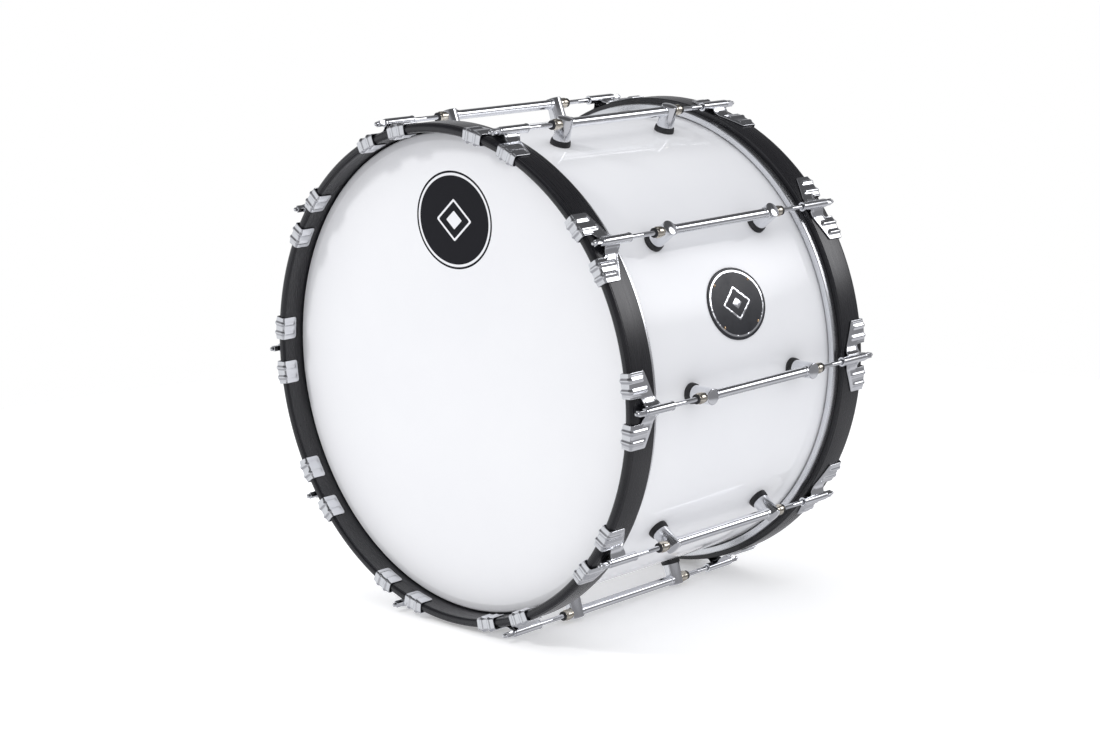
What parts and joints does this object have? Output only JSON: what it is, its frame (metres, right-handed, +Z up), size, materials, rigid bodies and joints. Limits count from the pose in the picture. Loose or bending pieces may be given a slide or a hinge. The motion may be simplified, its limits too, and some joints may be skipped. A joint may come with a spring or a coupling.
{
  "type": "marching bass drum",
  "caption": "Marching bass drum: a wide ply shell with a tensioned head, black counterhoop, claws and key rods at each end, and tube lugs on posts round it.",
  "frame": {"origin": "the drum's centre, on its axis, halfway between the heads", "axes": "+Y along the drum's axis towards the rear head, +Z up as the drum is carried, +X towards the badge side"},
  "size_m": [0.626, 0.4218, 0.6012],
  "materials": {
    "shell_lacquer": "gloss white lacquer",
    "hoop_black": "satin black lacquer",
    "chrome": "polished",
    "flesh_hoop_aluminium": "satin",
    "head_film": "smooth white film",
    "badge_enamel": "black enamel with a polished border",
    "gasket_rubber": "matt black",
    "nut_nickel": "warm nickel plate",
    "rivet_brass": "polished"
  },
  "bodies": {
    "shell": {"shell": "shell_lacquer", "badge": "badge_enamel", "vent_grommet": "chrome", "lug_01": "chrome", "lug_02": "chrome", "lug_03": "chrome", "lug_04": "chrome", "lug_05": "chrome", "lug_06": "chrome", "lug_07": "chrome", "lug_08": "chrome", "lug_09": "chrome", "lug_10": "chrome"},
    "front_head": {"front_head_film": "head_film", "front_flesh_hoop": "flesh_hoop_aluminium"},
    "front_hoop": {"front_counterhoop": "hoop_black"},
    "front_claw_01": {"front_claw_01": "chrome"},
    "front_rod_01": {"front_rod_01": "chrome"},
    "front_claw_02": {"front_claw_02": "chrome"},
    "front_rod_02": {"front_rod_02": "chrome"},
    "front_claw_03": {"front_claw_03": "chrome"},
    "front_rod_03": {"front_rod_03": "chrome"},
    "front_claw_04": {"front_claw_04": "chrome"},
    "front_rod_04": {"front_rod_04": "chrome"},
    "front_claw_05": {"front_claw_05": "chrome"},
    "front_rod_05": {"front_rod_05": "chrome"},
    "front_claw_06": {"front_claw_06": "chrome"},
    "front_rod_06": {"front_rod_06": "chrome"},
    "front_claw_07": {"front_claw_07": "chrome"},
    "front_rod_07": {"front_rod_07": "chrome"},
    "front_claw_08": {"front_claw_08": "chrome"},
    "front_rod_08": {"front_rod_08": "chrome"},
    "front_claw_09": {"front_claw_09": "chrome"},
    "front_rod_09": {"front_rod_09": "chrome"},
    "front_claw_10": {"front_claw_10": "chrome"},
    "front_rod_10": {"front_rod_10": "chrome"},
    "rear_head": {"rear_head_film": "head_film", "rear_flesh_hoop": "flesh_hoop_aluminium"},
    "rear_hoop": {"rear_counterhoop": "hoop_black"},
    "rear_claw_01": {"rear_claw_01": "chrome"},
    "rear_rod_01": {"rear_rod_01": "chrome"},
    "rear_claw_02": {"rear_claw_02": "chrome"},
    "rear_rod_02": {"rear_rod_02": "chrome"},
    "rear_claw_03": {"rear_claw_03": "chrome"},
    "rear_rod_03": {"rear_rod_03": "chrome"},
    "rear_claw_04": {"rear_claw_04": "chrome"},
    "rear_rod_04": {"rear_rod_04": "chrome"},
    "rear_claw_05": {"rear_claw_05": "chrome"},
    "rear_rod_05": {"rear_rod_05": "chrome"},
    "rear_claw_06": {"rear_claw_06": "chrome"},
    "rear_rod_06": {"rear_rod_06": "chrome"},
    "rear_claw_07": {"rear_claw_07": "chrome"},
    "rear_rod_07": {"rear_rod_07": "chrome"},
    "rear_claw_08": {"rear_claw_08": "chrome"},
    "rear_rod_08": {"rear_rod_08": "chrome"},
    "rear_claw_09": {"rear_claw_09": "chrome"},
    "rear_rod_09": {"rear_rod_09": "chrome"},
    "rear_claw_10": {"rear_claw_10": "chrome"},
    "rear_rod_10": {"rear_rod_10": "chrome"}
  },
  "joints": [
    {"name": "front_head_lift", "type": "slide", "parent": "shell", "child": "front_head", "axis": [0, -1, 0], "range_m": [0, 0.04]},
    {"name": "front_hoop_lift", "type": "slide", "parent": "front_head", "child": "front_hoop", "axis": [0, -1, 0], "range_m": [0, 0.03]},
    {"name": "front_claw_01_lift", "type": "slide", "parent": "front_hoop", "child": "front_claw_01", "axis": [0, -1, 0], "range_m": [0, 0.01058]},
    {"name": "front_rod_01_turn", "type": "hinge", "parent": "front_claw_01", "child": "front_rod_01", "pos_m": [0.305, -0.2109, 0], "axis": [0, -1, 0], "range_deg": [0, 3600]},
    {"name": "front_claw_02_lift", "type": "slide", "parent": "front_hoop", "child": "front_claw_02", "axis": [0, -1, 0], "range_m": [0, 0.01058]},
    {"name": "front_rod_02_turn", "type": "hinge", "parent": "front_claw_02", "child": "front_rod_02", "pos_m": [0.24675, -0.2109, 0.17927], "axis": [0, -1, 0], "range_deg": [0, 3600]},
    {"name": "front_claw_03_lift", "type": "slide", "parent": "front_hoop", "child": "front_claw_03", "axis": [0, -1, 0], "range_m": [0, 0.01058]},
    {"name": "front_rod_03_turn", "type": "hinge", "parent": "front_claw_03", "child": "front_rod_03", "pos_m": [0.09425, -0.2109, 0.29007], "axis": [0, -1, 0], "range_deg": [0, 3600]},
    {"name": "front_claw_04_lift", "type": "slide", "parent": "front_hoop", "child": "front_claw_04", "axis": [0, -1, 0], "range_m": [0, 0.01058]},
    {"name": "front_rod_04_turn", "type": "hinge", "parent": "front_claw_04", "child": "front_rod_04", "pos_m": [-0.09425, -0.2109, 0.29007], "axis": [0, -1, 0], "range_deg": [0, 3600]},
    {"name": "front_claw_05_lift", "type": "slide", "parent": "front_hoop", "child": "front_claw_05", "axis": [0, -1, 0], "range_m": [0, 0.01058]},
    {"name": "front_rod_05_turn", "type": "hinge", "parent": "front_claw_05", "child": "front_rod_05", "pos_m": [-0.24675, -0.2109, 0.17927], "axis": [0, -1, 0], "range_deg": [0, 3600]},
    {"name": "front_claw_06_lift", "type": "slide", "parent": "front_hoop", "child": "front_claw_06", "axis": [0, -1, 0], "range_m": [0, 0.01058]},
    {"name": "front_rod_06_turn", "type": "hinge", "parent": "front_claw_06", "child": "front_rod_06", "pos_m": [-0.305, -0.2109, 0], "axis": [0, -1, 0], "range_deg": [0, 3600]},
    {"name": "front_claw_07_lift", "type": "slide", "parent": "front_hoop", "child": "front_claw_07", "axis": [0, -1, 0], "range_m": [0, 0.01058]},
    {"name": "front_rod_07_turn", "type": "hinge", "parent": "front_claw_07", "child": "front_rod_07", "pos_m": [-0.24675, -0.2109, -0.17927], "axis": [0, -1, 0], "range_deg": [0, 3600]},
    {"name": "front_claw_08_lift", "type": "slide", "parent": "front_hoop", "child": "front_claw_08", "axis": [0, -1, 0], "range_m": [0, 0.01058]},
    {"name": "front_rod_08_turn", "type": "hinge", "parent": "front_claw_08", "child": "front_rod_08", "pos_m": [-0.09425, -0.2109, -0.29007], "axis": [0, -1, 0], "range_deg": [0, 3600]},
    {"name": "front_claw_09_lift", "type": "slide", "parent": "front_hoop", "child": "front_claw_09", "axis": [0, -1, 0], "range_m": [0, 0.01058]},
    {"name": "front_rod_09_turn", "type": "hinge", "parent": "front_claw_09", "child": "front_rod_09", "pos_m": [0.09425, -0.2109, -0.29007], "axis": [0, -1, 0], "range_deg": [0, 3600]},
    {"name": "front_claw_10_lift", "type": "slide", "parent": "front_hoop", "child": "front_claw_10", "axis": [0, -1, 0], "range_m": [0, 0.01058]},
    {"name": "front_rod_10_turn", "type": "hinge", "parent": "front_claw_10", "child": "front_rod_10", "pos_m": [0.24675, -0.2109, -0.17927], "axis": [0, -1, 0], "range_deg": [0, 3600]},
    {"name": "rear_head_lift", "type": "slide", "parent": "shell", "child": "rear_head", "axis": [0, 1, 0], "range_m": [0, 0.04]},
    {"name": "rear_hoop_lift", "type": "slide", "parent": "rear_head", "child": "rear_hoop", "axis": [0, 1, 0], "range_m": [0, 0.03]},
    {"name": "rear_claw_01_lift", "type": "slide", "parent": "rear_hoop", "child": "rear_claw_01", "axis": [0, 1, 0], "range_m": [0, 0.01058]},
    {"name": "rear_rod_01_turn", "type": "hinge", "parent": "rear_claw_01", "child": "rear_rod_01", "pos_m": [0.305, 0.2109, 0], "axis": [0, 1, 0], "range_deg": [0, 3600]},
    {"name": "rear_claw_02_lift", "type": "slide", "parent": "rear_hoop", "child": "rear_claw_02", "axis": [0, 1, 0], "range_m": [0, 0.01058]},
    {"name": "rear_rod_02_turn", "type": "hinge", "parent": "rear_claw_02", "child": "rear_rod_02", "pos_m": [0.24675, 0.2109, 0.17927], "axis": [0, 1, 0], "range_deg": [0, 3600]},
    {"name": "rear_claw_03_lift", "type": "slide", "parent": "rear_hoop", "child": "rear_claw_03", "axis": [0, 1, 0], "range_m": [0, 0.01058]},
    {"name": "rear_rod_03_turn", "type": "hinge", "parent": "rear_claw_03", "child": "rear_rod_03", "pos_m": [0.09425, 0.2109, 0.29007], "axis": [0, 1, 0], "range_deg": [0, 3600]},
    {"name": "rear_claw_04_lift", "type": "slide", "parent": "rear_hoop", "child": "rear_claw_04", "axis": [0, 1, 0], "range_m": [0, 0.01058]},
    {"name": "rear_rod_04_turn", "type": "hinge", "parent": "rear_claw_04", "child": "rear_rod_04", "pos_m": [-0.09425, 0.2109, 0.29007], "axis": [0, 1, 0], "range_deg": [0, 3600]},
    {"name": "rear_claw_05_lift", "type": "slide", "parent": "rear_hoop", "child": "rear_claw_05", "axis": [0, 1, 0], "range_m": [0, 0.01058]},
    {"name": "rear_rod_05_turn", "type": "hinge", "parent": "rear_claw_05", "child": "rear_rod_05", "pos_m": [-0.24675, 0.2109, 0.17927], "axis": [0, 1, 0], "range_deg": [0, 3600]},
    {"name": "rear_claw_06_lift", "type": "slide", "parent": "rear_hoop", "child": "rear_claw_06", "axis": [0, 1, 0], "range_m": [0, 0.01058]},
    {"name": "rear_rod_06_turn", "type": "hinge", "parent": "rear_claw_06", "child": "rear_rod_06", "pos_m": [-0.305, 0.2109, 0], "axis": [0, 1, 0], "range_deg": [0, 3600]},
    {"name": "rear_claw_07_lift", "type": "slide", "parent": "rear_hoop", "child": "rear_claw_07", "axis": [0, 1, 0], "range_m": [0, 0.01058]},
    {"name": "rear_rod_07_turn", "type": "hinge", "parent": "rear_claw_07", "child": "rear_rod_07", "pos_m": [-0.24675, 0.2109, -0.17927], "axis": [0, 1, 0], "range_deg": [0, 3600]},
    {"name": "rear_claw_08_lift", "type": "slide", "parent": "rear_hoop", "child": "rear_claw_08", "axis": [0, 1, 0], "range_m": [0, 0.01058]},
    {"name": "rear_rod_08_turn", "type": "hinge", "parent": "rear_claw_08", "child": "rear_rod_08", "pos_m": [-0.09425, 0.2109, -0.29007], "axis": [0, 1, 0], "range_deg": [0, 3600]},
    {"name": "rear_claw_09_lift", "type": "slide", "parent": "rear_hoop", "child": "rear_claw_09", "axis": [0, 1, 0], "range_m": [0, 0.01058]},
    {"name": "rear_rod_09_turn", "type": "hinge", "parent": "rear_claw_09", "child": "rear_rod_09", "pos_m": [0.09425, 0.2109, -0.29007], "axis": [0, 1, 0], "range_deg": [0, 3600]},
    {"name": "rear_claw_10_lift", "type": "slide", "parent": "rear_hoop", "child": "rear_claw_10", "axis": [0, 1, 0], "range_m": [0, 0.01058]},
    {"name": "rear_rod_10_turn", "type": "hinge", "parent": "rear_claw_10", "child": "rear_rod_10", "pos_m": [0.24675, 0.2109, -0.17927], "axis": [0, 1, 0], "range_deg": [0, 3600]}
  ],
  "couplings": [
    {"joint": "front_rod_01_turn", "follows": "front_claw_01_lift", "rad_per_m": 5936.9},
    {"joint": "front_rod_02_turn", "follows": "front_claw_02_lift", "rad_per_m": 5936.9},
    {"joint": "front_rod_03_turn", "follows": "front_claw_03_lift", "rad_per_m": 5936.9},
    {"joint": "front_rod_04_turn", "follows": "front_claw_04_lift", "rad_per_m": 5936.9},
    {"joint": "front_rod_05_turn", "follows": "front_claw_05_lift", "rad_per_m": 5936.9},
    {"joint": "front_rod_06_turn", "follows": "front_claw_06_lift", "rad_per_m": 5936.9},
    {"joint": "front_rod_07_turn", "follows": "front_claw_07_lift", "rad_per_m": 5936.9},
    {"joint": "front_rod_08_turn", "follows": "front_claw_08_lift", "rad_per_m": 5936.9},
    {"joint": "front_rod_09_turn", "follows": "front_claw_09_lift", "rad_per_m": 5936.9},
    {"joint": "front_rod_10_turn", "follows": "front_claw_10_lift", "rad_per_m": 5936.9},
    {"joint": "rear_rod_01_turn", "follows": "rear_claw_01_lift", "rad_per_m": 5936.9},
    {"joint": "rear_rod_02_turn", "follows": "rear_claw_02_lift", "rad_per_m": 5936.9},
    {"joint": "rear_rod_03_turn", "follows": "rear_claw_03_lift", "rad_per_m": 5936.9},
    {"joint": "rear_rod_04_turn", "follows": "rear_claw_04_lift", "rad_per_m": 5936.9},
    {"joint": "rear_rod_05_turn", "follows": "rear_claw_05_lift", "rad_per_m": 5936.9},
    {"joint": "rear_rod_06_turn", "follows": "rear_claw_06_lift", "rad_per_m": 5936.9},
    {"joint": "rear_rod_07_turn", "follows": "rear_claw_07_lift", "rad_per_m": 5936.9},
    {"joint": "rear_rod_08_turn", "follows": "rear_claw_08_lift", "rad_per_m": 5936.9},
    {"joint": "rear_rod_09_turn", "follows": "rear_claw_09_lift", "rad_per_m": 5936.9},
    {"joint": "rear_rod_10_turn", "follows": "rear_claw_10_lift", "rad_per_m": 5936.9}
  ]
}
